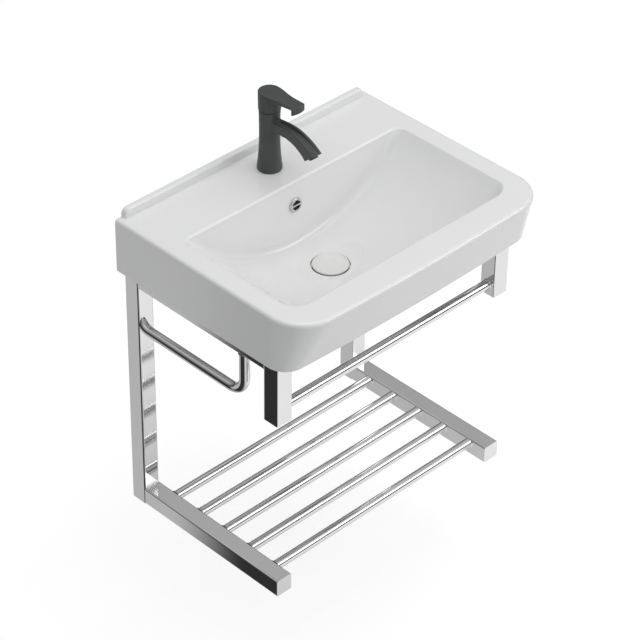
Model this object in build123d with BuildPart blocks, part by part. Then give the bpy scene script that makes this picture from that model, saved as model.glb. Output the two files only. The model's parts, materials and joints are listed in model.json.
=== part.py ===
from build123d import *
import math
import os

# A wall-hung washbasin that rests on a polished tube frame with a slatted shelf and
# towel rails, with a single-lever mixer tap and a push-button waste. All in millimetres.
# X runs along the wall, the front is -Y and Z is up. The origin lies on the wall,
# on the centre line, at the level of the basin's deck.

# Basin
basin_width = 610
corner_depth = 460
front_bow = 8
apron_height = 108
front_lean = 39
rim_corner_radius = 76
foot_corner_radius = 40
apron_wall = 12
deck_thickness = 16
rim_roll = 7
underside_recess = 8
upstand_height = 17
upstand_thickness = 12
upstand_inset = 15
upstand_end_radius = 12
upstand_edge_radius = 4

# Bowl
bowl_side_ledge = 41
bowl_front_ledge = 58
bowl_back = 128
bowl_depth = 128
bowl_wall = 10
bowl_wall_lean = 9
back_crease_radius = 16
front_crease_radius = 32
bowl_edge_radius = 5
dish_depth = 5
dish_reach = 72
dish_margin = 3

# Ledges under the deck that the frame carries the basin by
ledge_thickness = 12
ledge_web = 10
ledge_overhang = 8

# Waste
drain_before_bowl_back = 94
drain_hole_radius = 23
boss_radius = 38
boss_depth = 26
seat_depth = 3
flange_radius = 35.5
flange_thickness = 3
flange_chamfer = 2
flange_clearance = 0.5
waste_outer_radius = 20.95
waste_bore_radius = 17.5
waste_length = 95
waste_slot_width = 12
waste_slot_height = 10
seal_margin = 1
lower_seal_margin = 4
seal_thickness = 2
lower_seal_thickness = 4
back_nut_across_flats = 58
back_nut_height = 9
thread_clearance = 0.1
cap_radius = 33.3
cap_thickness = 5
cap_dome = 2
cap_lift = 1.5
cap_edge = 1.5
stem_radius = 4
stem_length = 30
stem_collar = 7.2
stem_collar_height = 1.5
guide_radius = 8
guide_height = 12
guide_drop = 4
guide_rib = 3
running_clearance = 0.05

# Overflow
overflow_depth = 47
overflow_hole_radius = 11
overflow_ring_radius = 14
overflow_ring_bore = 9.5
overflow_ring_thickness = 4
overflow_ring_depth = 8
overflow_ring_round = 1.5
overflow_bar = 3
overflow_fit = 0.1
duct_width = 44
duct_passage = 16
duct_wall = 8
duct_above_hole = 20
duct_mouth = 10
duct_foot_spread = 4
duct_floor = 6

# Tap
tap_from_wall = 66
tap_hole_radius = 17.5
tap_seal_thickness = 1
tap_base_radius = 22.9
tap_base_height = 6
tap_waist_radius = 18.8
tap_waist_level = 84
tap_top_radius = 19.6
tap_top_level = 123
cartridge_radius = 15
cartridge_floor = 85
cartridge_height = 31
cartridge_wall = 3.5
cartridge_fit = 0.1
cartridge_nut_height = 6
cartridge_nut_bore = 12.5
carrier_gap = 0.3
carrier_foot_height = 8
carrier_setback = 1
spindle_room = 3
pin_setback = 0.5
pivot_level = 105
pivot_pin_radius = 1.5
spindle_radius = 4.5
spindle_foot = 99
spindle_top = 150
spindle_fit = 0.02
lever_gap = 1.2
lever_foot_radius = 20.4
lever_top_radius = 20.8
lever_top_level = 160
lever_edge_radius = 1.2
lever_length = 75
lever_root_thickness = 12
lever_blade_thickness = 3
lever_waist = 16
lever_waist_reach = 34
lever_tip_half = 15
lever_tip_bulge = 3
lever_lip_height = 13
dome_clearance = 0.45
screw_radius = 2.5
screw_length = 6
screw_hexagon = 2.5
screw_level = 145
plug_radius = 3.5
plug_thickness = 2
plug_recess = 3.5
plug_clearance = 0.05

# Spout
spout_reach = 120
spout_width = 21
spout_root_top = 104
spout_crown_top = 108.5
spout_crown_reach = 44
spout_root_bottom = 85
spout_crown_bottom = 89
spout_tip_top = 82
spout_tip_bottom = 65
spout_tip_setback = 21
spout_channel_width = 11
spout_channel_depth = 4
spout_channel_setback = 4
spout_bow = 6.5
spout_under_bow = 6
spout_under_setback = 8
aerator_radius = 8.5
aerator_clearance = 0.1
aerator_length = 9
aerator_socket = 6
aerator_wall = 2.5
grille_thickness = 1.5
grille_pitch = 3.4
grille_hole = 2

# Tap fixing under the deck
stud_radius = 4
stud_length = 72
stud_behind_axis = 9
stud_grip = 14
clamp_radius = 24
clamp_slot_width = 26
clamp_thickness = 3
clamp_seal_thickness = 3
stud_nut_across_flats = 13
stud_nut_height = 6.5
inlet_radius = 4.5
inlet_spacing = 14
inlet_before_axis = 4
inlet_depth = 18

# Frame
frame_side_clearance = 5
tube_size = 35
tube_wall = 2
tube_corner_radius = 3
end_plate = 2
pad_thickness = 3
pad_width = 28
pad_length = 60
pad_corner_radius = 3
frame_setback = 72
frame_height = 527
leg_length = 140.5
rod_radius = 9.5
rod_wall = 1.5
shelf_bar_count = 5
shelf_bar_pitch = 66.5
front_bar_setback = 41.5
front_rail_level = -221
side_rail_level = -227
side_rail_setback = 91
side_rail_bend = 35
side_rail_upturn = 30
side_rail_upturn_start = 55
side_rail_upturn_angle = 65
wall_hole_radius = 4.5
wall_hole_top = -170
wall_hole_spacing = 400

# Fixing holes in the basin's back
basin_hole_radius = 7
basin_hole_spacing = 280
basin_hole_level = -62

os.makedirs("parts", exist_ok=True)

drain_from_wall = bowl_back + drain_before_bowl_back
frame_half = basin_width / 2 - apron_wall - frame_side_clearance
frame_reach = corner_depth - frame_setback
post_x = frame_half - tube_size / 2
inner_x = frame_half - tube_size
ledge_level = -(apron_height - underside_recess)
arm_top = ledge_level - pad_thickness
arm_bottom = arm_top - tube_size
frame_bottom = arm_top - frame_height
rod_level = frame_bottom + tube_size - rod_radius
bowl_half = basin_width / 2 - bowl_side_ledge
bowl_front = corner_depth - bowl_front_ledge
bowl_radius = (bowl_half**2 + bowl_depth**2) / (2 * bowl_depth)


def plan(width, back, front, bow, corner_radius):
    """A basin outline seen from above: straight back, bowed front, round front corners."""
    with BuildSketch() as outline:
        with BuildLine():
            Polyline(
                (-width / 2, -front),
                (-width / 2, -back),
                (width / 2, -back),
                (width / 2, -front),
            )
            ThreePointArc((width / 2, -front), (0, -front - bow), (-width / 2, -front))
        make_face()
        fillet(outline.vertices().group_by(Axis.Y)[0], corner_radius)
    return outline.sketch


def trough(growth, top):
    """The bowl's hollow, or the same form grown by a wall, as a core up to the level top."""
    radius = bowl_radius + growth
    centre = bowl_radius - bowl_depth
    half = math.sqrt(radius**2 - (centre - top) ** 2)
    back = bowl_back - growth
    front = bowl_front + growth
    floor = -bowl_depth - growth - dish_depth
    lean = bowl_wall_lean * (top - floor) / bowl_depth
    with BuildPart() as core:
        with BuildSketch(Plane.XZ.offset(back)):
            with BuildLine():
                Line((-half, top), (half, top))
                ThreePointArc((half, top), (0, centre - radius), (-half, top))
            make_face()
        extrude(amount=front - back)
        with BuildSketch(Plane.YZ):
            with BuildLine():
                Polyline(
                    (-back, top),
                    (-front, top),
                    (-front + lean, floor),
                    (-back - lean, floor),
                    close=True,
                )
            make_face()
        extrude(amount=basin_width / 2, both=True, mode=Mode.INTERSECT)
        front_crease = core.faces().sort_by(Axis.Y)[0].edges().filter_by(GeomType.LINE, reverse=True)
        fillet(front_crease, front_crease_radius + growth)
        back_crease = core.faces().sort_by(Axis.Y)[-1].edges().filter_by(GeomType.LINE, reverse=True)
        fillet(back_crease, back_crease_radius + growth)
    return core.part


# The hollow under the deck, less the ledges that stand in it along both sides
ledge_inner_x = inner_x - ledge_overhang
with BuildPart() as hollow:
    with BuildSketch(Plane.XY.offset(-deck_thickness)):
        add(
            plan(
                basin_width - 2 * apron_wall,
                apron_wall,
                corner_depth - apron_wall - front_lean * deck_thickness / apron_height,
                front_bow,
                rim_corner_radius - apron_wall,
            )
        )
    with BuildSketch(Plane.XY.offset(-apron_height - 1)):
        add(
            plan(
                basin_width - 2 * apron_wall,
                apron_wall,
                corner_depth - apron_wall - front_lean * (1 + 1 / apron_height),
                front_bow,
                foot_corner_radius - apron_wall,
            )
        )
    loft(ruled=True)
    for x_sign in (-1, 1):
        with BuildSketch(Plane.XZ.offset(-1)):
            with BuildLine():
                Polyline(
                    (x_sign * ledge_inner_x, 0),
                    (x_sign * ledge_inner_x, ledge_level),
                    (x_sign * basin_width / 2, ledge_level),
                    (x_sign * basin_width / 2, ledge_level + ledge_thickness),
                    (x_sign * (ledge_inner_x + ledge_web), ledge_level + ledge_thickness),
                    (x_sign * (ledge_inner_x + ledge_web), 0),
                    close=True,
                )
            make_face()
        extrude(amount=corner_depth + front_bow, mode=Mode.SUBTRACT)

# Where the overflow ring sits, square to the leaning back wall of the bowl
back_slope = bowl_wall_lean / bowl_depth
overflow_seat = Plane(
    origin=(0, -bowl_back - back_slope * overflow_depth, -overflow_depth),
    x_dir=(1, 0, 0),
    z_dir=(0, -1, back_slope),
)

# A ball-shaped dish round the waste, which runs out on the trough's floor at its reach
trough_rise = bowl_radius - math.sqrt(bowl_radius**2 - dish_reach**2)
dish_rise = dish_depth + trough_rise
dish_radius = (dish_reach**2 + dish_rise**2) / (2 * dish_rise)
dish_limit = dish_reach + dish_margin


def dish_level(reach):
    """The level of the dish at a distance from the waste's axis."""
    return -bowl_depth - dish_depth + dish_radius - math.sqrt(dish_radius**2 - reach**2)


# One casting: deck, apron, bowl, waste boss and overflow duct
boss_top = -bowl_depth
boss_bottom = -bowl_depth - dish_depth - boss_depth
duct_back = bowl_back - bowl_wall - duct_passage - duct_wall
with BuildPart() as basin:
    with BuildSketch():
        add(plan(basin_width, 0, corner_depth, front_bow, rim_corner_radius))
    with BuildSketch(Plane.XY.offset(-apron_height)):
        add(plan(basin_width, 0, corner_depth - front_lean, front_bow, foot_corner_radius))
    loft(ruled=True)
    rim = basin.faces().sort_by(Axis.Z)[-1].edges().sort_by(Axis.Y)[:-1]
    fillet(rim, rim_roll)
    add(hollow.part, mode=Mode.SUBTRACT)
    with BuildSketch(Plane.XZ):
        with Locations((0, ledge_level - underside_recess / 2)):
            Rectangle(basin_width - 2 * apron_wall, underside_recess + 1)
    extrude(amount=apron_wall + 1, mode=Mode.SUBTRACT)
    add(trough(bowl_wall, -deck_thickness / 2))
    with BuildSketch(Plane.XY.offset(boss_bottom)):
        with Locations((0, -drain_from_wall)):
            Circle(boss_radius)
    extrude(amount=boss_top - boss_bottom)
    with BuildSketch(Plane.YZ):
        with BuildLine():
            Polyline(
                (-duct_back, -overflow_depth + duct_above_hole),
                (-bowl_back, -overflow_depth + duct_above_hole),
                (-bowl_back - bowl_wall_lean, -bowl_depth),
                (-drain_from_wall, -bowl_depth),
                (-drain_from_wall, boss_bottom),
                (-duct_back, boss_bottom),
                close=True,
            )
        make_face()
    extrude(amount=duct_width / 2, both=True)
    # Upstand along the wall
    with BuildSketch(Plane.XZ) as upstand:
        with Locations((0, upstand_height / 2)):
            Rectangle(basin_width - 2 * upstand_inset, upstand_height)
        fillet(upstand.vertices().group_by(Axis.Y)[-1], upstand_end_radius)
    extrude(amount=upstand_thickness)
    upstand_front = (
        basin.faces()
        .filter_by_position(Axis.Y, -upstand_thickness - 0.01, -upstand_thickness + 0.01)
        .sort_by(Axis.Z)[-1]
    )
    fillet(
        upstand_front.edges().filter_by_position(Axis.Z, 0.01, upstand_height + 1),
        upstand_edge_radius,
    )
    # Bowl, with its softly rounded brim and a shallow dish round the waste
    add(trough(0, 0), mode=Mode.SUBTRACT)
    brim = (
        basin.edges()
        .filter_by_position(Axis.Z, -0.01, 0.01)
        .filter_by_position(Axis.Y, -bowl_front - 1, -bowl_back + 1)
        .filter_by_position(Axis.X, -bowl_half - 1, bowl_half + 1)
    )
    fillet(brim, bowl_edge_radius)
    with BuildSketch(Plane.XZ.offset(drain_from_wall)):
        with BuildLine():
            dish_arc = RadiusArc(
                (0, -bowl_depth - dish_depth),
                (dish_limit, dish_level(dish_limit)),
                -dish_radius,
            )
            Polyline(dish_arc @ 1, (dish_limit, 0), (0, 0), dish_arc @ 0)
        make_face()
    revolve(axis=Axis((0, -drain_from_wall, 0), (0, 0, 1)), mode=Mode.SUBTRACT)
    # Waste hole with the seat for the waste's flange
    with Locations((0, -drain_from_wall, -bowl_depth - dish_depth)):
        CounterBoreHole(
            drain_hole_radius,
            flange_radius + flange_clearance,
            seat_depth + seal_thickness,
        )
    # Overflow hole and the passage down to the waste hole
    with BuildSketch(overflow_seat):
        Circle(overflow_hole_radius)
    extrude(amount=-bowl_wall - duct_passage / 2, mode=Mode.SUBTRACT)
    passage_top = -overflow_depth + duct_above_hole - duct_wall
    passage_floor = boss_bottom + duct_floor
    with BuildSketch(Plane.YZ):
        with BuildLine():
            Polyline(
                (-duct_back - duct_wall, passage_top),
                (-duct_back - duct_wall - duct_passage, passage_top),
                (-duct_back - duct_wall - duct_passage - duct_foot_spread, passage_floor + duct_mouth),
                (-drain_from_wall, passage_floor + duct_mouth),
                (-drain_from_wall, passage_floor),
                (-duct_back - duct_wall, passage_floor),
                close=True,
            )
        make_face()
    extrude(amount=duct_width / 2 - duct_wall, both=True, mode=Mode.SUBTRACT)
    # Tap hole, and the two fixing holes in the back
    with Locations((0, -tap_from_wall, 0)):
        Hole(tap_hole_radius, deck_thickness + 1)
    with BuildSketch(Plane.XZ):
        with Locations((0, basin_hole_level)):
            with GridLocations(basin_hole_spacing, 1, 2, 1):
                Circle(basin_hole_radius)
    extrude(amount=apron_wall + 1, mode=Mode.SUBTRACT)
basin.part.label = "basin"
export_step(basin.part, "parts/basin.step")


# Waste: flanged body with a central guide, push-button cap, seals and back nut
flange_bottom = -bowl_depth - dish_depth - seat_depth
flange_top = flange_bottom + flange_thickness
waste_bottom = flange_bottom - waste_length
guide_top = flange_bottom - guide_drop
with BuildPart() as waste_body:
    with Locations((0, -drain_from_wall, flange_bottom)):
        Cylinder(flange_radius, flange_thickness, align=(Align.CENTER, Align.CENTER, Align.MIN))
        Cylinder(
            waste_outer_radius,
            waste_length,
            align=(Align.CENTER, Align.CENTER, Align.MAX),
        )
    with Locations((0, -drain_from_wall, waste_bottom)):
        Cylinder(
            waste_bore_radius,
            waste_length + flange_thickness,
            align=(Align.CENTER, Align.CENTER, Align.MIN),
            mode=Mode.SUBTRACT,
        )
    chamfer(
        waste_body.edges().filter_by(GeomType.CIRCLE).group_by(Axis.Z)[-1].sort_by(SortBy.RADIUS)[0],
        flange_chamfer,
    )
    with Locations((0, -drain_from_wall, guide_top)):
        Cylinder(guide_radius, guide_height, align=(Align.CENTER, Align.CENTER, Align.MAX))
        with PolarLocations(0, 3):
            Box(
                waste_bore_radius + 1,
                guide_rib,
                guide_height,
                align=(Align.MIN, Align.CENTER, Align.MAX),
            )
        Hole(stem_radius + running_clearance)
    # Slots that take the overflow water
    with Locations((0, -drain_from_wall, passage_floor + duct_mouth / 2)):
        Box(3 * waste_outer_radius, waste_slot_width, waste_slot_height, mode=Mode.SUBTRACT)
        Box(waste_slot_width, 3 * waste_outer_radius, waste_slot_height, mode=Mode.SUBTRACT)
waste_body.part.label = "waste_body"
export_step(waste_body.part, "parts/waste_body.step")

cap_bottom = flange_top + cap_lift
cap_face = cap_radius - cap_edge
cap_top = cap_bottom + cap_thickness
cap_dome_radius = (cap_face**2 + cap_dome**2) / (2 * cap_dome)
cap_mid_drop = cap_dome_radius - math.sqrt(cap_dome_radius**2 - cap_face**2 / 4)
with BuildPart() as waste_cap:
    with BuildSketch(Plane.XZ.offset(drain_from_wall)):
        with BuildLine():
            Polyline(
                (0, cap_top + cap_dome),
                (0, cap_bottom),
                (cap_face, cap_bottom),
                (cap_radius, cap_bottom + cap_edge),
                (cap_radius, cap_top - cap_edge),
                (cap_face, cap_top),
            )
            ThreePointArc(
                (cap_face, cap_top),
                (cap_face / 2, cap_top + cap_dome - cap_mid_drop),
                (0, cap_top + cap_dome),
            )
        make_face()
    revolve(axis=Axis((0, -drain_from_wall, 0), (0, 0, 1)))
waste_cap.part.label = "waste_cap"
export_step(waste_cap.part, "parts/waste_cap.step")

with BuildPart() as waste_stem:
    with Locations((0, -drain_from_wall, cap_bottom)):
        Cylinder(stem_radius, stem_length, align=(Align.CENTER, Align.CENTER, Align.MAX))
        Cylinder(stem_collar, stem_collar_height, align=(Align.CENTER, Align.CENTER, Align.MAX))
waste_stem.part.label = "waste_stem"
export_step(waste_stem.part, "parts/waste_stem.step")

with BuildPart() as waste_seal:
    with BuildSketch(Plane.XY.offset(flange_bottom - seal_thickness)):
        with Locations((0, -drain_from_wall)):
            Circle(flange_radius - seal_margin)
            Circle(drain_hole_radius, mode=Mode.SUBTRACT)
    extrude(amount=seal_thickness)
waste_seal.part.label = "waste_seal"
export_step(waste_seal.part, "parts/waste_seal.step")

with BuildPart() as waste_lower_seal:
    with BuildSketch(Plane.XY.offset(boss_bottom - lower_seal_thickness)):
        with Locations((0, -drain_from_wall)):
            Circle(boss_radius - lower_seal_margin)
            Circle(waste_outer_radius + thread_clearance, mode=Mode.SUBTRACT)
    extrude(amount=lower_seal_thickness)
waste_lower_seal.part.label = "waste_lower_seal"
export_step(waste_lower_seal.part, "parts/waste_lower_seal.step")

with BuildPart() as waste_back_nut:
    with BuildSketch(Plane.XY.offset(boss_bottom - lower_seal_thickness - back_nut_height)):
        with Locations((0, -drain_from_wall)):
            RegularPolygon(back_nut_across_flats / 2, 6, major_radius=False)
            Circle(waste_outer_radius + thread_clearance, mode=Mode.SUBTRACT)
    extrude(amount=back_nut_height)
waste_back_nut.part.label = "waste_back_nut"
export_step(waste_back_nut.part, "parts/waste_back_nut.step")

# Overflow ring: a flanged bush with a bar across its opening
with BuildPart() as overflow_ring:
    with BuildSketch(overflow_seat):
        Circle(overflow_ring_radius)
        Circle(overflow_ring_bore, mode=Mode.SUBTRACT)
        Rectangle(2 * overflow_ring_bore + 2, overflow_bar)
    extrude(amount=overflow_ring_thickness)
    outer_edges = overflow_ring.edges().filter_by(GeomType.CIRCLE).group_by(SortBy.RADIUS)[-1]
    fillet(outer_edges.sort_by(Axis.Y)[0], overflow_ring_round)
    with BuildSketch(overflow_seat):
        Circle(overflow_hole_radius - overflow_fit)
        Circle(overflow_ring_bore, mode=Mode.SUBTRACT)
    extrude(amount=-overflow_ring_depth)
overflow_ring.part.label = "overflow_ring"
export_step(overflow_ring.part, "parts/overflow_ring.step")

# Tap body: tapered column with the spout, bored for the cartridge, stud and inlets
tap_axis = Axis((0, -tap_from_wall, 0), (0, 0, 1))
spout_tip = tap_from_wall + spout_reach
crown = tap_from_wall + spout_crown_reach
spout_mid = crown + 0.53 * (spout_tip - crown)
spout_under_mid = crown + 0.4 * (spout_tip - crown)
channel_start = tap_from_wall + tap_top_radius + spout_channel_setback
channel_end = spout_tip + spout_channel_depth
channel_roof = spout_crown_top + spout_channel_depth
end_face = Plane(
    origin=(
        0,
        -spout_tip + spout_tip_setback / 2,
        (spout_tip_top + spout_tip_bottom) / 2,
    ),
    x_dir=(1, 0, 0),
    z_dir=(0, spout_tip_bottom - spout_tip_top, -spout_tip_setback),
)
with BuildPart() as tap_body:
    with BuildSketch(Plane.XZ.offset(tap_from_wall)):
        with BuildLine():
            Polyline(
                (0, tap_top_level),
                (0, tap_seal_thickness),
                (tap_base_radius, tap_seal_thickness),
                (tap_base_radius, tap_base_height),
            )
            Spline(
                (tap_base_radius, tap_base_height),
                (tap_waist_radius, tap_waist_level),
                (tap_top_radius, tap_top_level),
                tangents=((-0.14, 1), (0.035, 1)),
            )
            Line((tap_top_radius, tap_top_level), (0, tap_top_level))
        make_face()
    revolve(axis=tap_axis)
    with BuildSketch(Plane.YZ):
        with BuildLine():
            Line((-tap_from_wall, spout_root_top), (-crown, spout_crown_top))
            ThreePointArc(
                (-crown, spout_crown_top),
                (-spout_mid, spout_crown_top - spout_bow),
                (-spout_tip, spout_tip_top),
            )
            Line((-spout_tip, spout_tip_top), (-spout_tip + spout_tip_setback, spout_tip_bottom))
            ThreePointArc(
                (-spout_tip + spout_tip_setback, spout_tip_bottom),
                (-spout_under_mid, spout_crown_bottom - spout_under_bow),
                (-crown + spout_under_setback, spout_crown_bottom),
            )
            Polyline(
                (-crown + spout_under_setback, spout_crown_bottom),
                (-tap_from_wall, spout_root_bottom),
                (-tap_from_wall, spout_root_top),
            )
        make_face()
    extrude(amount=spout_width / 2, both=True)
    # Channel along the top of the spout
    with BuildSketch(Plane.YZ):
        with BuildLine():
            Polyline(
                (-channel_start, channel_roof),
                (-channel_start, spout_root_top),
                (-crown, spout_crown_top - spout_channel_depth),
            )
            ThreePointArc(
                (-crown, spout_crown_top - spout_channel_depth),
                (-spout_mid, spout_crown_top - spout_bow - spout_channel_depth),
                (-channel_end, spout_tip_top - spout_channel_depth),
            )
            Polyline(
                (-channel_end, spout_tip_top - spout_channel_depth),
                (-channel_end, channel_roof),
                (-channel_start, channel_roof),
            )
        make_face()
    extrude(amount=spout_channel_width / 2, both=True, mode=Mode.SUBTRACT)
    with BuildSketch(end_face):
        Circle(aerator_radius + aerator_clearance)
    extrude(amount=-aerator_socket, mode=Mode.SUBTRACT)
    with Locations((0, -tap_from_wall, tap_top_level)):
        Hole(cartridge_radius + cartridge_fit, tap_top_level - cartridge_floor)
    with BuildSketch(Plane.XY.offset(tap_seal_thickness)):
        with Locations((0, -tap_from_wall + stud_behind_axis)):
            Circle(stud_radius + thread_clearance)
    extrude(amount=stud_grip, mode=Mode.SUBTRACT)
    with BuildSketch(Plane.XY.offset(tap_seal_thickness)):
        with Locations((0, -tap_from_wall - inlet_before_axis)):
            with GridLocations(inlet_spacing, 1, 2, 1):
                Circle(inlet_radius)
    extrude(amount=inlet_depth, mode=Mode.SUBTRACT)
tap_body.part.label = "tap_body"
export_step(tap_body.part, "parts/tap_body.step")

with BuildPart() as aerator:
    with BuildSketch(end_face.offset(-aerator_socket)):
        Circle(aerator_radius)
        Circle(aerator_radius - aerator_wall, mode=Mode.SUBTRACT)
    extrude(amount=aerator_length)
    with BuildSketch(end_face.offset(-aerator_socket)):
        Circle(aerator_radius - aerator_wall / 2)
        with GridLocations(grille_pitch, grille_pitch, 4, 4):
            Rectangle(grille_hole, grille_hole, mode=Mode.SUBTRACT)
    extrude(amount=grille_thickness)
aerator.part.label = "aerator"
export_step(aerator.part, "parts/aerator.step")

with BuildPart() as tap_base_seal:
    with BuildSketch():
        with Locations((0, -tap_from_wall)):
            Circle(tap_base_radius - seal_margin)
            Circle(tap_hole_radius, mode=Mode.SUBTRACT)
    extrude(amount=tap_seal_thickness)
tap_base_seal.part.label = "tap_base_seal"
export_step(tap_base_seal.part, "parts/tap_base_seal.step")

# Cartridge: cup, turning carrier, pivot pin, and the nut that holds it down
carrier_foot = cartridge_floor + carrier_foot_height
carrier_top = cartridge_floor + cartridge_height - carrier_setback
carrier_radius = cartridge_radius - cartridge_wall - carrier_gap
with BuildPart() as tap_cartridge:
    with Locations((0, -tap_from_wall, cartridge_floor)):
        Cylinder(
            cartridge_radius,
            cartridge_height,
            align=(Align.CENTER, Align.CENTER, Align.MIN),
        )
    with Locations((0, -tap_from_wall, cartridge_floor + cartridge_height)):
        Hole(
            cartridge_radius - cartridge_wall,
            cartridge_height - carrier_foot_height + carrier_gap,
        )
tap_cartridge.part.label = "tap_cartridge"
export_step(tap_cartridge.part, "parts/tap_cartridge.step")

with BuildPart() as cartridge_carrier:
    with Locations((0, -tap_from_wall, carrier_foot)):
        Cylinder(
            carrier_radius,
            carrier_top - carrier_foot,
            align=(Align.CENTER, Align.CENTER, Align.MIN),
        )
    with Locations((0, -tap_from_wall, spindle_foot - spindle_room)):
        Box(
            2 * (spindle_radius + carrier_gap),
            2 * carrier_radius + 1,
            carrier_top,
            align=(Align.CENTER, Align.CENTER, Align.MIN),
            mode=Mode.SUBTRACT,
        )
    with BuildSketch(Plane.YZ):
        with Locations((-tap_from_wall, pivot_level)):
            Circle(pivot_pin_radius)
    extrude(amount=carrier_radius + 1, both=True, mode=Mode.SUBTRACT)
cartridge_carrier.part.label = "cartridge_carrier"
export_step(cartridge_carrier.part, "parts/cartridge_carrier.step")

with BuildPart() as pivot_pin:
    with BuildSketch(Plane.YZ):
        with Locations((-tap_from_wall, pivot_level)):
            Circle(pivot_pin_radius)
    extrude(amount=carrier_radius - pin_setback, both=True)
pivot_pin.part.label = "pivot_pin"
export_step(pivot_pin.part, "parts/pivot_pin.step")

with BuildPart() as cartridge_nut:
    with BuildSketch(Plane.XY.offset(cartridge_floor + cartridge_height)):
        with Locations((0, -tap_from_wall)):
            Circle(cartridge_radius)
            Circle(cartridge_nut_bore, mode=Mode.SUBTRACT)
    extrude(amount=cartridge_nut_height)
cartridge_nut.part.label = "cartridge_nut"
export_step(cartridge_nut.part, "parts/cartridge_nut.step")

with BuildPart() as tap_spindle:
    with Locations((0, -tap_from_wall, spindle_foot)):
        Cylinder(
            spindle_radius,
            spindle_top - spindle_foot,
            align=(Align.CENTER, Align.CENTER, Align.MIN),
        )
    with BuildSketch(Plane.YZ):
        with Locations((-tap_from_wall, pivot_level)):
            Circle(pivot_pin_radius + running_clearance)
    extrude(amount=spindle_radius + 1, both=True, mode=Mode.SUBTRACT)
tap_spindle.part.label = "tap_spindle"
export_step(tap_spindle.part, "parts/tap_spindle.step")

# Lever: a cap over the body, hollowed as a ball round the pivot, and a thin blade that
# narrows to a turned-down lip
lever_foot = tap_top_level + lever_gap
lever_tip = tap_from_wall + lever_length
lever_lip_back = lever_tip - lever_tip_bulge - lever_blade_thickness
dome_radius = math.hypot(tap_top_radius, tap_top_level - pivot_level) + dome_clearance
with BuildPart() as tap_lever:
    with BuildSketch(Plane.YZ):
        with BuildLine():
            Polyline(
                (-tap_from_wall, lever_top_level),
                (-lever_tip - 1, lever_top_level),
                (-lever_tip - 1, lever_top_level - lever_lip_height),
                (-lever_lip_back, lever_top_level - lever_lip_height),
                (-lever_lip_back, lever_top_level - lever_blade_thickness),
                (-tap_from_wall, lever_top_level - lever_root_thickness),
                close=True,
            )
        make_face()
    extrude(amount=lever_top_radius + 1, both=True)
    with BuildSketch(Plane.XY.offset(lever_foot)):
        with BuildLine():
            ThreePointArc(
                (lever_tip_half, -lever_tip + lever_tip_bulge),
                (0, -lever_tip),
                (-lever_tip_half, -lever_tip + lever_tip_bulge),
            )
            for x_sign in (-1, 1):
                Spline(
                    (x_sign * lever_top_radius, -tap_from_wall),
                    (x_sign * lever_waist, -tap_from_wall - lever_waist_reach),
                    (x_sign * lever_tip_half, -lever_tip + lever_tip_bulge),
                    tangents=((0, -1), (0, -1)),
                )
            Line((-lever_top_radius, -tap_from_wall), (lever_top_radius, -tap_from_wall))
        make_face()
    extrude(amount=lever_top_level - lever_foot, mode=Mode.INTERSECT)
    with BuildSketch(Plane.XZ.offset(tap_from_wall)):
        with BuildLine():
            Polyline(
                (0, lever_top_level),
                (0, lever_foot),
                (lever_foot_radius, lever_foot),
                (lever_top_radius, lever_top_level - lever_root_thickness),
                (lever_top_radius, lever_top_level),
                close=True,
            )
        make_face()
    revolve(axis=tap_axis)
    fillet(tap_lever.edges().group_by(Axis.Z)[-1], lever_edge_radius)
    with Locations((0, -tap_from_wall, pivot_level)):
        Sphere(dome_radius, mode=Mode.SUBTRACT)
    with BuildSketch(Plane.XY.offset(pivot_level)):
        with Locations((0, -tap_from_wall)):
            Circle(spindle_radius + spindle_fit)
    extrude(amount=spindle_top - pivot_level, mode=Mode.SUBTRACT)
    with BuildSketch(Plane.XZ.offset(tap_from_wall)):
        with Locations((0, screw_level)):
            Circle(screw_radius + thread_clearance)
    extrude(amount=-lever_top_radius, mode=Mode.SUBTRACT)
    with BuildSketch(Plane.XZ.offset(tap_from_wall - lever_top_radius)):
        with Locations((0, screw_level)):
            Circle(plug_radius)
    extrude(amount=plug_recess, mode=Mode.SUBTRACT)
tap_lever.part.label = "tap_lever"
export_step(tap_lever.part, "parts/tap_lever.step")

with BuildPart() as lever_grub_screw:
    with BuildSketch(Plane.XZ.offset(tap_from_wall - spindle_radius)):
        with Locations((0, screw_level)):
            Circle(screw_radius)
    extrude(amount=-screw_length)
    with BuildSketch(Plane.XZ.offset(tap_from_wall - spindle_radius - screw_length)):
        with Locations((0, screw_level)):
            RegularPolygon(screw_hexagon / 2, 6, major_radius=False)
    extrude(amount=screw_hexagon, mode=Mode.SUBTRACT)
lever_grub_screw.part.label = "lever_grub_screw"
export_step(lever_grub_screw.part, "parts/lever_grub_screw.step")

# The plug seats on the floor of its recess, so its face ends just inside the round wall
with BuildPart() as lever_plug:
    with BuildSketch(Plane.XZ.offset(tap_from_wall - lever_top_radius + plug_recess)):
        with Locations((0, screw_level)):
            Circle(plug_radius - plug_clearance)
    extrude(amount=-plug_thickness)
lever_plug.part.label = "lever_plug"
export_step(lever_plug.part, "parts/lever_plug.step")

# Tap fixing: stud, horseshoe seal and plate, and nut
stud_y = -tap_from_wall + stud_behind_axis


def horseshoe(level, thickness):
    """A round plate under the deck with a slot for the stud and the inlet tails."""
    with BuildPart() as plate:
        with BuildSketch(Plane.XY.offset(level)):
            with Locations((0, -tap_from_wall)):
                Circle(clamp_radius)
            with Locations((0, -tap_from_wall - inlet_before_axis)):
                Rectangle(
                    clamp_slot_width,
                    2 * inlet_radius,
                    mode=Mode.SUBTRACT,
                )
            with Locations((0, stud_y)):
                Circle(stud_radius + thread_clearance, mode=Mode.SUBTRACT)
        extrude(amount=thickness)
    return plate.part


clamp_seal_level = -deck_thickness - clamp_seal_thickness
with BuildPart() as clamp_seal:
    add(horseshoe(clamp_seal_level, clamp_seal_thickness))
clamp_seal.part.label = "clamp_seal"
export_step(clamp_seal.part, "parts/clamp_seal.step")

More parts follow.
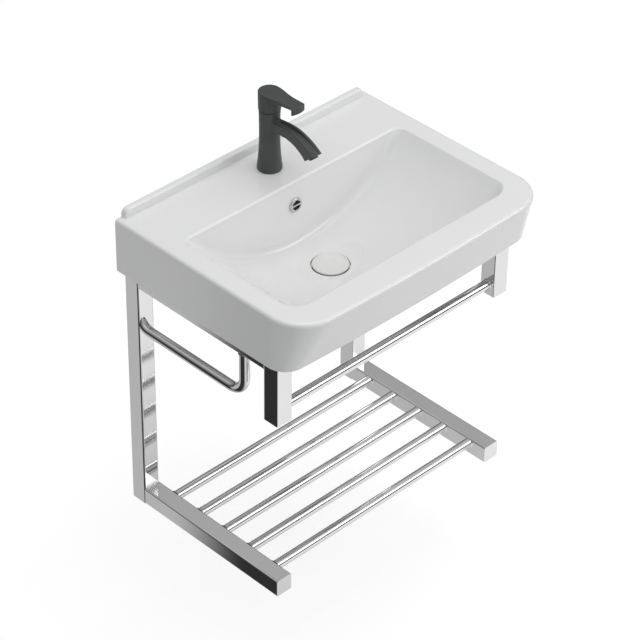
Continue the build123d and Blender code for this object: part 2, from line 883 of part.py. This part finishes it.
with BuildPart() as clamp_plate:
    add(horseshoe(clamp_seal_level - clamp_thickness, clamp_thickness))
clamp_plate.part.label = "clamp_plate"
export_step(clamp_plate.part, "parts/clamp_plate.step")

with BuildPart() as tap_stud:
    with Locations((0, stud_y, tap_seal_thickness + stud_grip)):
        Cylinder(stud_radius, stud_length, align=(Align.CENTER, Align.CENTER, Align.MAX))
tap_stud.part.label = "tap_stud"
export_step(tap_stud.part, "parts/tap_stud.step")

with BuildPart() as stud_nut:
    with BuildSketch(Plane.XY.offset(clamp_seal_level - clamp_thickness - stud_nut_height)):
        with Locations((0, stud_y)):
            RegularPolygon(stud_nut_across_flats / 2, 6, major_radius=False)
            Circle(stud_radius + thread_clearance, mode=Mode.SUBTRACT)
    extrude(amount=stud_nut_height)
stud_nut.part.label = "stud_nut"
export_step(stud_nut.part, "parts/stud_nut.step")


def square_section():
    """The cross-section of the frame's square tube, centred on the origin."""
    with BuildSketch() as section:
        RectangleRounded(tube_size, tube_size, tube_corner_radius)
        RectangleRounded(
            tube_size - 2 * tube_wall,
            tube_size - 2 * tube_wall,
            tube_corner_radius - tube_wall,
            mode=Mode.SUBTRACT,
        )
    return section.sketch


def square_plate():
    """The outline of the plates that close the square tubes' ends."""
    with BuildSketch() as section:
        RectangleRounded(tube_size, tube_size, tube_corner_radius)
    return section.sketch


# Frame: on each side a post, an arm, a front leg and a shelf rail of square tube
leg_y = -frame_reach + tube_size / 2
post_y = -tube_size / 2
arm_z = arm_top - tube_size / 2
shelf_rail_z = frame_bottom + tube_size / 2
side_rail_x = frame_half - rod_radius
side_rail_front = frame_reach - side_rail_setback
front_rail_from_wall = frame_reach - tube_size / 2
front_bar_from_wall = frame_reach - front_bar_setback
for side, x_sign in (("left", -1), ("right", 1)):
    x = x_sign * post_x
    with BuildPart() as post:
        with BuildSketch(Plane((x, post_y, frame_bottom + end_plate))):
            add(square_section())
        extrude(amount=frame_height - 2 * end_plate)
        with BuildSketch(Plane.XZ):
            with Locations((x, wall_hole_top), (x, wall_hole_top - wall_hole_spacing)):
                Circle(wall_hole_radius)
        extrude(amount=tube_wall + 1, mode=Mode.SUBTRACT)
    post.part.label = f"{side}_post"
    export_step(post.part, f"parts/{side}_post.step")

    with BuildPart() as arm:
        with BuildSketch(Plane((x, -tube_size, arm_z), x_dir=(1, 0, 0), z_dir=(0, -1, 0))):
            add(square_section())
        extrude(amount=frame_reach - 2 * tube_size)
    arm.part.label = f"{side}_arm"
    export_step(arm.part, f"parts/{side}_arm.step")

    with BuildPart() as leg:
        with BuildSketch(Plane((x, leg_y, arm_top - leg_length + end_plate))):
            add(square_section())
        extrude(amount=leg_length - 2 * end_plate)
    leg.part.label = f"{side}_leg"
    export_step(leg.part, f"parts/{side}_leg.step")

    with BuildPart() as shelf_rail:
        with BuildSketch(
            Plane((x, -tube_size, shelf_rail_z), x_dir=(1, 0, 0), z_dir=(0, -1, 0))
        ):
            add(square_section())
        extrude(amount=frame_reach - tube_size - end_plate)
    shelf_rail.part.label = f"{side}_shelf_rail"
    export_step(shelf_rail.part, f"parts/{side}_shelf_rail.step")

    with BuildPart() as side_rail:
        with BuildLine(Plane.YZ.offset(x_sign * side_rail_x)) as route:
            drop = Line(
                (-side_rail_front, arm_bottom),
                (-side_rail_front, side_rail_level + side_rail_bend),
            )
            CenterArc(
                (-side_rail_front + side_rail_bend, side_rail_level + side_rail_bend),
                side_rail_bend,
                180,
                90,
            )
            Line(
                (-side_rail_front + side_rail_bend, side_rail_level),
                (-side_rail_upturn_start, side_rail_level),
            )
            CenterArc(
                (-side_rail_upturn_start, side_rail_level + side_rail_upturn),
                side_rail_upturn,
                270,
                side_rail_upturn_angle,
            )
        with BuildSketch(Plane(origin=drop @ 0, z_dir=(0, 0, -1))):
            Circle(rod_radius)
            Circle(rod_radius - rod_wall, mode=Mode.SUBTRACT)
        sweep()
        split(bisect_by=Plane.XZ.offset(tube_size), keep=Keep.TOP)
    side_rail.part.label = f"{side}_towel_rail"
    export_step(side_rail.part, f"parts/{side}_towel_rail.step")

# Plates welded over the open ends of the square tubes
with BuildPart() as end_plates:
    for x in (-post_x, post_x):
        for y, z in (
            (post_y, frame_bottom),
            (post_y, arm_top - end_plate),
            (leg_y, arm_top - leg_length),
            (leg_y, arm_top - end_plate),
        ):
            with BuildSketch(Plane((x, y, z))):
                add(square_plate())
            extrude(amount=end_plate)
        with BuildSketch(
            Plane(
                (x, -frame_reach + end_plate, shelf_rail_z),
                x_dir=(1, 0, 0),
                z_dir=(0, -1, 0),
            )
        ):
            add(square_plate())
        extrude(amount=end_plate)
end_plates.part.label = "tube_end_plates"
export_step(end_plates.part, "parts/tube_end_plates.step")

# Rubber pads between the arms and the basin's ledges
with BuildPart() as support_pads:
    with BuildSketch(Plane.XY.offset(arm_top)):
        for x in (-post_x, post_x):
            for y in (-tube_size - pad_length, -frame_reach + pad_length + tube_size):
                with Locations((x, y)):
                    RectangleRounded(pad_width, pad_length, pad_corner_radius)
    extrude(amount=pad_thickness)
support_pads.part.label = "support_pads"
export_step(support_pads.part, "parts/support_pads.step")


def cross_tube(from_wall, level):
    """A round tube along X between the inner faces of the square tubes."""
    with BuildPart() as tube:
        with BuildSketch(Plane.YZ):
            with Locations((-from_wall, level)):
                Circle(rod_radius)
                Circle(rod_radius - rod_wall, mode=Mode.SUBTRACT)
        extrude(amount=inner_x, both=True)
    return tube.part


for number in range(shelf_bar_count):
    with BuildPart() as shelf_bar:
        add(cross_tube(front_bar_from_wall - number * shelf_bar_pitch, rod_level))
    shelf_bar.part.label = f"shelf_bar_{number + 1}"
    export_step(shelf_bar.part, f"parts/shelf_bar_{number + 1}.step")

with BuildPart() as front_towel_rail:
    add(cross_tube(front_rail_from_wall, front_rail_level))
front_towel_rail.part.label = "front_towel_rail"
export_step(front_towel_rail.part, "parts/front_towel_rail.step")
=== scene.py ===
import math

import bmesh
import bpy
from mathutils import Matrix, Vector
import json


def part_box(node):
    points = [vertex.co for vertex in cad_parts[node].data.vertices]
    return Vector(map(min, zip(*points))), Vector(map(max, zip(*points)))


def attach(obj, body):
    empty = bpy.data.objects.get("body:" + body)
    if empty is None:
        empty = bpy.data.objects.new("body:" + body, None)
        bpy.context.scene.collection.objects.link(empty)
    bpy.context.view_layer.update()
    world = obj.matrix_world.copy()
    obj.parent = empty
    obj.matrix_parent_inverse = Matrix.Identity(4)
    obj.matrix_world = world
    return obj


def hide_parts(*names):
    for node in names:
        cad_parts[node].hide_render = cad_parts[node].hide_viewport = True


# A wall-hung basin on a polished tube frame. Metres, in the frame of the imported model.
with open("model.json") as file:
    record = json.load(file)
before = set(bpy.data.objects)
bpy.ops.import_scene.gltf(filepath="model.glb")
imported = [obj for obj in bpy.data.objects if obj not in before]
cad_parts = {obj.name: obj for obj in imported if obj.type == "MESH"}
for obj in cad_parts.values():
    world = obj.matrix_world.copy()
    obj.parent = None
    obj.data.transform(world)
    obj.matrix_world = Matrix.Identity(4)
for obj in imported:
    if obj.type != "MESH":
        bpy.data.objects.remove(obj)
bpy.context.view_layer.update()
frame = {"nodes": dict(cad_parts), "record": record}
nodes = frame["nodes"]

# Camera, as fitted to the photograph
PHOTO_SIZE = 640
FOCAL_PX = 2772.9
SENSOR = 36.0
CAMERA_AZIMUTH = math.radians(-44.861)
CAMERA_ELEVATION = math.radians(36.711)
CAMERA_ROLL = math.radians(0.775)
CAMERA_DISTANCE = 4.9296
CAMERA_TARGET = Vector((-0.03525, -0.233, -0.22842))
CAMERA_REACH = 50

# The floor, and how bright it is to the camera
FLOOR_LEVEL = -0.86
FLOOR_HALF = 6.0
FLOOR_PAINT = 0.55
FLOOR_GLOW = 0.58

# Painted reflection: for glossy rays only, the floor glows pale, whiter to the right, with a painted dark
# patch at the front left, and polished metal mirrors this.
# The first pair is of x + y and the other two of y - x, in metres, each from none of it to all of it.
DARK_REFLECTION_IN_FRONT = (-0.35, -0.58)
DARK_REFLECTION_AT_LEFT = (-0.35, 0.25)
REFLECTION_WHITE_AT_RIGHT = (0.1, -1.1)
REFLECTED_PALE_FLOOR = (0.56, 0.56, 0.56, 1)
PAINTED_DARK_REFLECTION = (0.035, 0.035, 0.037, 1)

# Studio light. A sky is the height at which it starts to brighten, the height where it is white, and its
# colour below: the first lights the object, and the second is what polished surfaces mirror.
WHITE = (1, 1, 1, 1)
LIT_SKY = (0.0, 0.9, (0.30, 0.30, 0.31, 1))
MIRRORED_SKY = (0.12, 0.95, (0.10, 0.10, 0.10, 1))
WORLD_LIGHT = 0.85
MIRRORED_WORLD = 0.70
KEY_POWER = 38.0
KEY_PLACE = (2.6, -3.4, 2.0)
KEY_SIZE = (2.4, 1.8)
FRONT_POWER = 12.0
FRONT_PLACE = (0.2, -3.8, 1.1)
TOP_POWER = 14.0
TOP_PLACE = (0.2, -0.6, 2.6)
TOP_SIZE = (2.2, 2.2)
LIGHT_TARGET = (0, -0.2, -0.2)

# Small forms that the render needs and the solids leave out
TAP_VOXEL = 0.0007
SHELF_BARS = 5
WELD_SIZE = 0.0018
WELD_STEPS = 40
WELD_ARC_STEPS = 5
WELD_OVERLAP = 0.0005
BUTTON_STEPS = 96
BUTTON_EDGE = 0.0016
BUTTON_EDGE_STEPS = 6
BUTTON_SHOULDER = 0.62
BUTTON_DOME_STEPS = 24
BUTTON_DISH_SHARE = 0.3
BUTTON_DISH_DEPTH = 0.0005

# Depth of the slow waves in polished metal, and of the fine skins and the ripple in the glaze
METAL_WAVE = 0.0004
SKIN_DEPTH = 0.0002
GLAZE_RIPPLE = 0.0006


def link(obj):
    bpy.context.scene.collection.objects.link(obj)
    return obj


def make_camera():
    """The camera stands where the photographer's did, with no shift."""
    toward = Vector(
        (
            math.sin(CAMERA_AZIMUTH) * math.cos(CAMERA_ELEVATION),
            -math.cos(CAMERA_AZIMUTH) * math.cos(CAMERA_ELEVATION),
            math.sin(CAMERA_ELEVATION),
        )
    )
    data = bpy.data.cameras.new("camera")
    data.sensor_width = SENSOR
    data.lens = FOCAL_PX / PHOTO_SIZE * SENSOR
    data.clip_end = CAMERA_REACH
    camera = link(bpy.data.objects.new("camera", data))
    turn = (-toward).to_track_quat("-Z", "Y").to_matrix() @ Matrix.Rotation(CAMERA_ROLL, 3, "Z")
    camera.matrix_world = Matrix.Translation(CAMERA_TARGET + toward * CAMERA_DISTANCE) @ turn.to_4x4()
    bpy.context.scene.camera = camera


class Nodes:
    """A short way to write a node tree: new("Type", Input_Name=value or socket, i0=first input)."""

    def __init__(self, tree):
        self.tree = tree
        tree.nodes.clear()

    def new(self, kind, settings=None, **inputs):
        node = self.tree.nodes.new("ShaderNode" + kind)
        for name, value in (settings or {}).items():
            setattr(node, name, value)
        for name, value in inputs.items():
            key = int(name[1:]) if name[0] == "i" and name[1:].isdigit() else name.replace("_", " ")
            socket = node.inputs[key]
            if isinstance(value, bpy.types.NodeSocket):
                self.tree.links.new(value, socket)
            else:
                socket.default_value = value
        return node


def combine(make, operation, first, second):
    """The result of one Math node, such as "ADD"."""
    return make.new("Math", {"operation": operation}, i0=first, i1=second).outputs[0]


def fade(make, value, start, end):
    """A smooth rise from 0 at start to 1 at end."""
    smooth = {"interpolation_type": "SMOOTHSTEP"}
    return make.new("MapRange", smooth, Value=value, From_Min=start, From_Max=end).outputs[0]


def blend(make, share, first, second):
    """A mix of two colours, given as RGBA or as sockets."""
    return make.new("Mix", {"data_type": "RGBA"}, i0=share, i6=first, i7=second).outputs[2]


def sky(make, height, start, end, low_colour):
    """Colours by height, from the low colour to white."""
    ramp = make.new("ValToRGB", Fac=height)
    low, high = ramp.color_ramp.elements
    low.position = start
    low.color = low_colour
    high.position = end
    high.color = WHITE
    return ramp.outputs["Color"]


def make_world():
    """Soft studio light: bright overhead, greyer toward the floor, white behind the object."""
    world = bpy.data.worlds.new("studio")
    world.use_nodes = True
    bpy.context.scene.world = world
    make = Nodes(world.node_tree)
    direction = make.new("TexCoord").outputs["Generated"]
    height = make.new("SeparateXYZ", Vector=direction).outputs["Z"]
    light = make.new("Background", Color=sky(make, height, *LIT_SKY), Strength=WORLD_LIGHT)
    mirrored = make.new("Background", Color=sky(make, height, *MIRRORED_SKY), Strength=MIRRORED_WORLD)
    white = make.new("Background", Color=WHITE, Strength=1.0)
    path = make.new("LightPath")
    lit = make.new("MixShader", i0=path.outputs["Is Glossy Ray"], i1=light.outputs[0], i2=mirrored.outputs[0])
    mix = make.new("MixShader", i0=path.outputs["Is Camera Ray"], i1=lit.outputs[0], i2=white.outputs[0])
    make.new("OutputWorld", Surface=mix.outputs[0])


def area_light(name, place, size, power):
    """A softbox that faces the middle of the object."""
    data = bpy.data.lights.new(name, "AREA")
    data.energy = power
    data.shape = "RECTANGLE"
    data.size, data.size_y = size
    lamp = link(bpy.data.objects.new(name, data))
    lamp.location = place
    lamp.rotation_euler = (Vector(LIGHT_TARGET) - Vector(place)).to_track_quat("-Z", "Y").to_euler()


def make_lights():
    area_light("key", KEY_PLACE, KEY_SIZE, KEY_POWER)
    area_light("front", FRONT_PLACE, KEY_SIZE, FRONT_POWER)
    area_light("top", TOP_PLACE, TOP_SIZE, TOP_POWER)


def material(name):
    mat = bpy.data.materials.new(name)
    mat.use_nodes = True
    make = Nodes(mat.node_tree)
    return mat, make


def finish_material(make, shader):
    make.new("OutputMaterial", Surface=shader.outputs[0])


def make_floor():
    """A plain white floor that keeps the object's soft shadow, and glows a painted reflection for polished
    surfaces.
    """
    mesh = bpy.data.meshes.new("floor")
    corners = [(-FLOOR_HALF, -FLOOR_HALF, 0), (FLOOR_HALF, -FLOOR_HALF, 0)]
    corners += [(FLOOR_HALF, FLOOR_HALF, 0), (-FLOOR_HALF, FLOOR_HALF, 0)]
    mesh.from_pydata(corners, [], [(0, 1, 2, 3)])
    floor = link(bpy.data.objects.new("floor", mesh))
    floor.location.z = FLOOR_LEVEL
    mat, make = material("floor_paint")
    paint = make.new("BsdfDiffuse", Color=(FLOOR_PAINT, FLOOR_PAINT, FLOOR_PAINT, 1))
    glow = make.new("Emission", Color=WHITE, Strength=FLOOR_GLOW)
    seen = make.new("AddShader", i0=paint.outputs[0], i1=glow.outputs[0])
    # Painted reflection: glossy rays see a glowing pattern in place of the lit paint, pale and whiter to the
    # right, with a painted dark patch at the front left.
    place = make.new("SeparateXYZ", Vector=make.new("NewGeometry").outputs["Position"])
    toward_back = combine(make, "ADD", place.outputs["X"], place.outputs["Y"])
    leftward = combine(make, "SUBTRACT", place.outputs["Y"], place.outputs["X"])
    in_front = fade(make, toward_back, *DARK_REFLECTION_IN_FRONT)
    at_left = fade(make, leftward, *DARK_REFLECTION_AT_LEFT)
    dark = combine(make, "MULTIPLY", in_front, at_left)
    pale = blend(make, fade(make, leftward, *REFLECTION_WHITE_AT_RIGHT), REFLECTED_PALE_FLOOR, WHITE)
    mirrored = make.new("Emission", Color=blend(make, dark, pale, PAINTED_DARK_REFLECTION), Strength=1.0)
    path = make.new("LightPath")
    plain = make.new("MixShader", i0=path.outputs["Is Camera Ray"], i1=paint.outputs[0], i2=seen.outputs[0])
    # The painted reflection is shown to glossy rays only; the camera sees the paint and its even glow.
    mix = make.new("MixShader", i0=path.outputs["Is Glossy Ray"], i1=plain.outputs[0], i2=mirrored.outputs[0])
    make.new("OutputMaterial", Surface=mix.outputs[0])
    mesh.materials.append(mat)


def noise(make, scale, detail=3.0, roughness=0.5):
    place = make.new("TexCoord").outputs["Object"]
    return make.new("TexNoise", Vector=place, Scale=scale, Detail=detail, Roughness=roughness).outputs[0]


def spread(make, value, low, high):
    """A noise value, which lies mostly between 0.3 and 0.7, spread from low to high."""
    return make.new("MapRange", Value=value, From_Min=0.3, From_Max=0.7, To_Min=low, To_Max=high).outputs[0]


def tint(make, value, dark, light):
    """A colour that goes from dark to light with a noise value."""
    return blend(make, value, (*dark, 1), (*light, 1))


def glazed_ceramic():
    """White glaze with faint clouds and a slow ripple in the gloss."""
    mat, make = material("glazed_ceramic")
    cloud = noise(make, scale=9.0)
    colour = tint(make, cloud, dark=(0.80, 0.805, 0.80), light=(0.835, 0.84, 0.835))
    rough = spread(make, noise(make, scale=40.0), low=0.10, high=0.18)
    ripple = noise(make, scale=55.0, detail=1.0)
    bump = make.new("Bump", Height=ripple, Strength=0.05, Distance=GLAZE_RIPPLE)
    shader = make.new(
        "BsdfPrincipled",
        Base_Color=colour,
        Roughness=rough,
        Normal=bump.outputs[0],
        Coat_Weight=0.4,
        Coat_Roughness=0.05,
        IOR=1.5,
    )
    finish_material(make, shader)
    return mat


def polished_metal(name, dark, light, rough):
    """Metal with slow changes of tone and gloss, and waves too low to see but in its reflections."""
    mat, make = material(name)
    colour = tint(make, noise(make, scale=14.0), dark, light)
    roughness = spread(make, noise(make, scale=35.0, detail=2.0), low=rough * 0.8, high=rough * 1.2)
    wave = noise(make, scale=12.0, detail=1.0)
    bump = make.new("Bump", Height=wave, Strength=0.02, Distance=METAL_WAVE)
    shader = make.new(
        "BsdfPrincipled",
        Base_Color=colour,
        Metallic=1.0,
        Roughness=roughness,
        Normal=bump.outputs[0],
    )
    finish_material(make, shader)
    return mat


def black_coat():
    """Satin black powder coat with its fine pebbled skin."""
    mat, make = material("black_metal")
    colour = tint(make, noise(make, scale=60.0), dark=(0.050, 0.052, 0.052), light=(0.066, 0.069, 0.069))
    rough = spread(make, noise(make, scale=300.0), low=0.36, high=0.48)
    pebbles = noise(make, scale=1400.0, detail=2.0)
    bump = make.new("Bump", Height=pebbles, Strength=0.12, Distance=SKIN_DEPTH)
    shader = make.new("BsdfPrincipled", Base_Color=colour, Roughness=rough, Normal=bump.outputs[0])
    finish_material(make, shader)
    return mat


def plain_solid(name, dark, light, low, high, pebbles=900.0):
    """Rubber or plastic: two near colours, roughness from low to high, and a skin of fine pebbles."""
    mat, make = material(name)
    colour = tint(make, noise(make, scale=80.0), dark, light)
    rough = spread(make, noise(make, scale=200.0), low, high)
    bump = make.new("Bump", Height=noise(make, scale=pebbles), Strength=0.1, Distance=SKIN_DEPTH)
    shader = make.new("BsdfPrincipled", Base_Color=colour, Roughness=rough, Normal=bump.outputs[0])
    finish_material(make, shader)
    return mat


def make_materials():
    return {
        "ceramic": glazed_ceramic(),
        "polished_steel": polished_metal("polished_steel", (0.74, 0.74, 0.74), (0.79, 0.79, 0.79), 0.06),
        "chrome": polished_metal("chrome", (0.66, 0.66, 0.66), (0.72, 0.72, 0.72), 0.05),
        "black_metal": black_coat(),
        "white_cap": plain_solid("white_cap", (0.76, 0.76, 0.75), (0.80, 0.80, 0.79), 0.12, 0.2, 300.0),
        "rubber": plain_solid("rubber", (0.03, 0.03, 0.03), (0.05, 0.05, 0.05), 0.7, 0.85),
        "brass": polished_metal("brass", (0.62, 0.46, 0.22), (0.70, 0.54, 0.28), 0.25),
        "grey_plastic": plain_solid("grey_plastic", (0.42, 0.43, 0.45), (0.48, 0.49, 0.51), 0.4, 0.55),
        "zinc_plate": polished_metal("zinc_plate", (0.5, 0.5, 0.51), (0.58, 0.58, 0.59), 0.3),
    }


def softened(node, name, steps):
    """A copy of a node's mesh, remeshed and relaxed so that its edges are softly rounded."""
    piece = link(bpy.data.objects.new(name, nodes[node].data.copy()))
    remesh = piece.modifiers.new("remesh", "REMESH")
    remesh.mode = "VOXEL"
    remesh.voxel_size = TAP_VOXEL
    relax = piece.modifiers.new("relax", "SMOOTH")
    relax.factor = 0.5
    relax.iterations = steps
    bpy.context.view_layer.update()
    mesh = bpy.data.meshes.new_from_object(piece.evaluated_get(bpy.context.evaluated_depsgraph_get()))
    piece.modifiers.clear()
    piece.data = mesh
    mesh.shade_smooth()
    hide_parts(node)
    return piece


def lathe(name, outline):
    """A closed form turned about its own Z axis, from (radius, height) points whose ends lie on the axis."""
    shape = bmesh.new()
    angles = [2 * math.pi * k / BUTTON_STEPS for k in range(BUTTON_STEPS)]
    rings = []
    for radius, height in outline:
        if radius == 0:
            rings.append([shape.verts.new((0, 0, height))])
        else:
            places = [(radius * math.cos(t), radius * math.sin(t), height) for t in angles]
            rings.append([shape.verts.new(place) for place in places])
    for low, high in zip(rings, rings[1:]):
        for k in range(BUTTON_STEPS):
            after = (k + 1) % BUTTON_STEPS
            corners = [low[k % len(low)], low[after % len(low)], high[after % len(high)], high[k % len(high)]]
            unique = [v for n, v in enumerate(corners) if v not in corners[:n]]
            shape.faces.new(unique)
    bmesh.ops.recalc_face_normals(shape, faces=shape.faces)
    mesh = bpy.data.meshes.new(name)
    shape.to_mesh(mesh)
    shape.free()
    mesh.shade_smooth()
    return link(bpy.data.objects.new(name, mesh))


def make_push_button():
    """The waste's white button: rounded edge, gentle dome and a shallow dish in the middle."""
    low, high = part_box("waste_cap")
    height = high.z - low.z
    flat_radius = (high.x - low.x) / 2 - BUTTON_EDGE
    turns = [math.pi / 2 * k / BUTTON_EDGE_STEPS for k in range(BUTTON_EDGE_STEPS + 1)]
    outline = [(0, 0), (flat_radius, 0)]
    outline += [
        (flat_radius + BUTTON_EDGE * math.sin(t), BUTTON_EDGE - BUTTON_EDGE * math.cos(t)) for t in turns[1:]
    ]
    shoulder = BUTTON_SHOULDER * height - BUTTON_EDGE
    outline += [
        (flat_radius + BUTTON_EDGE * math.cos(t), shoulder + BUTTON_EDGE * math.sin(t)) for t in turns[:-1]
    ]
    rim_top = outline[-1][1]
    dish_radius = BUTTON_DISH_SHARE * (high.x - low.x) / 2
    for k in range(1, BUTTON_DOME_STEPS + 1):
        share = 1 - k / BUTTON_DOME_STEPS
        reach = flat_radius * share
        dome = rim_top + (height - rim_top) * (1 - share**2)
        dish = BUTTON_DISH_DEPTH * 0.5 * (1 + math.cos(math.pi * min(1.0, reach / dish_radius)))
        outline.append((reach, dome - dish))
    button = lathe("push_button", outline)
    button.location = ((low.x + high.x) / 2, (low.y + high.y) / 2, low.z)
    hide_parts("waste_cap")
    return button


def weld_ring(shape, centre, direction, tube_radius):
    """A small concave weld where a round tube meets a wall; direction points out of the wall."""
    turn = Vector(direction).to_track_quat("Z", "Y").to_matrix()
    profile = [
        (tube_radius + WELD_SIZE * (1 - math.sin(t)), WELD_SIZE * (1 - math.cos(t)))
        for t in (math.pi / 2 * k / WELD_ARC_STEPS for k in range(WELD_ARC_STEPS + 1))
    ]
    profile.append((tube_radius - WELD_OVERLAP, WELD_SIZE))
    profile.append((tube_radius - WELD_OVERLAP, 0.0))
    rings = []
    for k in range(WELD_STEPS):
        angle = 2 * math.pi * k / WELD_STEPS
        ring = []
        for radius, height in profile:
            local = Vector((radius * math.cos(angle), radius * math.sin(angle), height))
            ring.append(shape.verts.new(Vector(centre) + turn @ local))
        rings.append(ring)
    for k in range(WELD_STEPS):
        here, there = rings[k], rings[(k + 1) % WELD_STEPS]
        for n in range(len(profile)):
            after = (n + 1) % len(profile)
            shape.faces.new((here[n], here[after], there[after], there[n]))


def make_welds():
    """Welds round both ends of each cross tube, and where the side rails' front ends meet the arms."""
    shape = bmesh.new()
    for node in ["front_towel_rail"] + [f"shelf_bar_{k + 1}" for k in range(SHELF_BARS)]:
        low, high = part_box(node)
        radius = (high.z - low.z) / 2
        y, z = (low.y + high.y) / 2, (low.z + high.z) / 2
        weld_ring(shape, (low.x, y, z), (1, 0, 0), radius)
        weld_ring(shape, (high.x, y, z), (-1, 0, 0), radius)
    for side in ("left", "right"):
        low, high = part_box(f"{side}_towel_rail")
        radius = (high.x - low.x) / 2
        weld_ring(shape, ((low.x + high.x) / 2, low.y + radius, high.z), (0, 0, -1), radius)
    bmesh.ops.recalc_face_normals(shape, faces=shape.faces)
    mesh = bpy.data.meshes.new("rail_welds")
    shape.to_mesh(mesh)
    shape.free()
    mesh.shade_smooth()
    return link(bpy.data.objects.new("rail_welds", mesh))


# Setting
bpy.context.scene.view_settings.view_transform = "Standard"
make_camera()
make_world()
make_lights()
make_floor()

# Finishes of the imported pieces, by the record's material slots
finishes = make_materials()
for subpart in frame["record"]["subparts"]:
    mesh = nodes[subpart["node"]].data
    mesh.materials.clear()
    mesh.materials.append(finishes[subpart["material_slot"]])

# Pieces of the scene: each with its body and its material slot
dressed = [
    (softened("tap_body", "tap_casting", 3), "root", "black_metal"),
    (softened("tap_lever", "lever_casting", 2), "tap_lever", "black_metal"),
    (make_push_button(), "waste_plunger", "white_cap"),
    (make_welds(), "root", "polished_steel"),
]
for piece, body, slot_name in dressed:
    piece.data.materials.clear()
    piece.data.materials.append(finishes[slot_name])
    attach(piece, body)
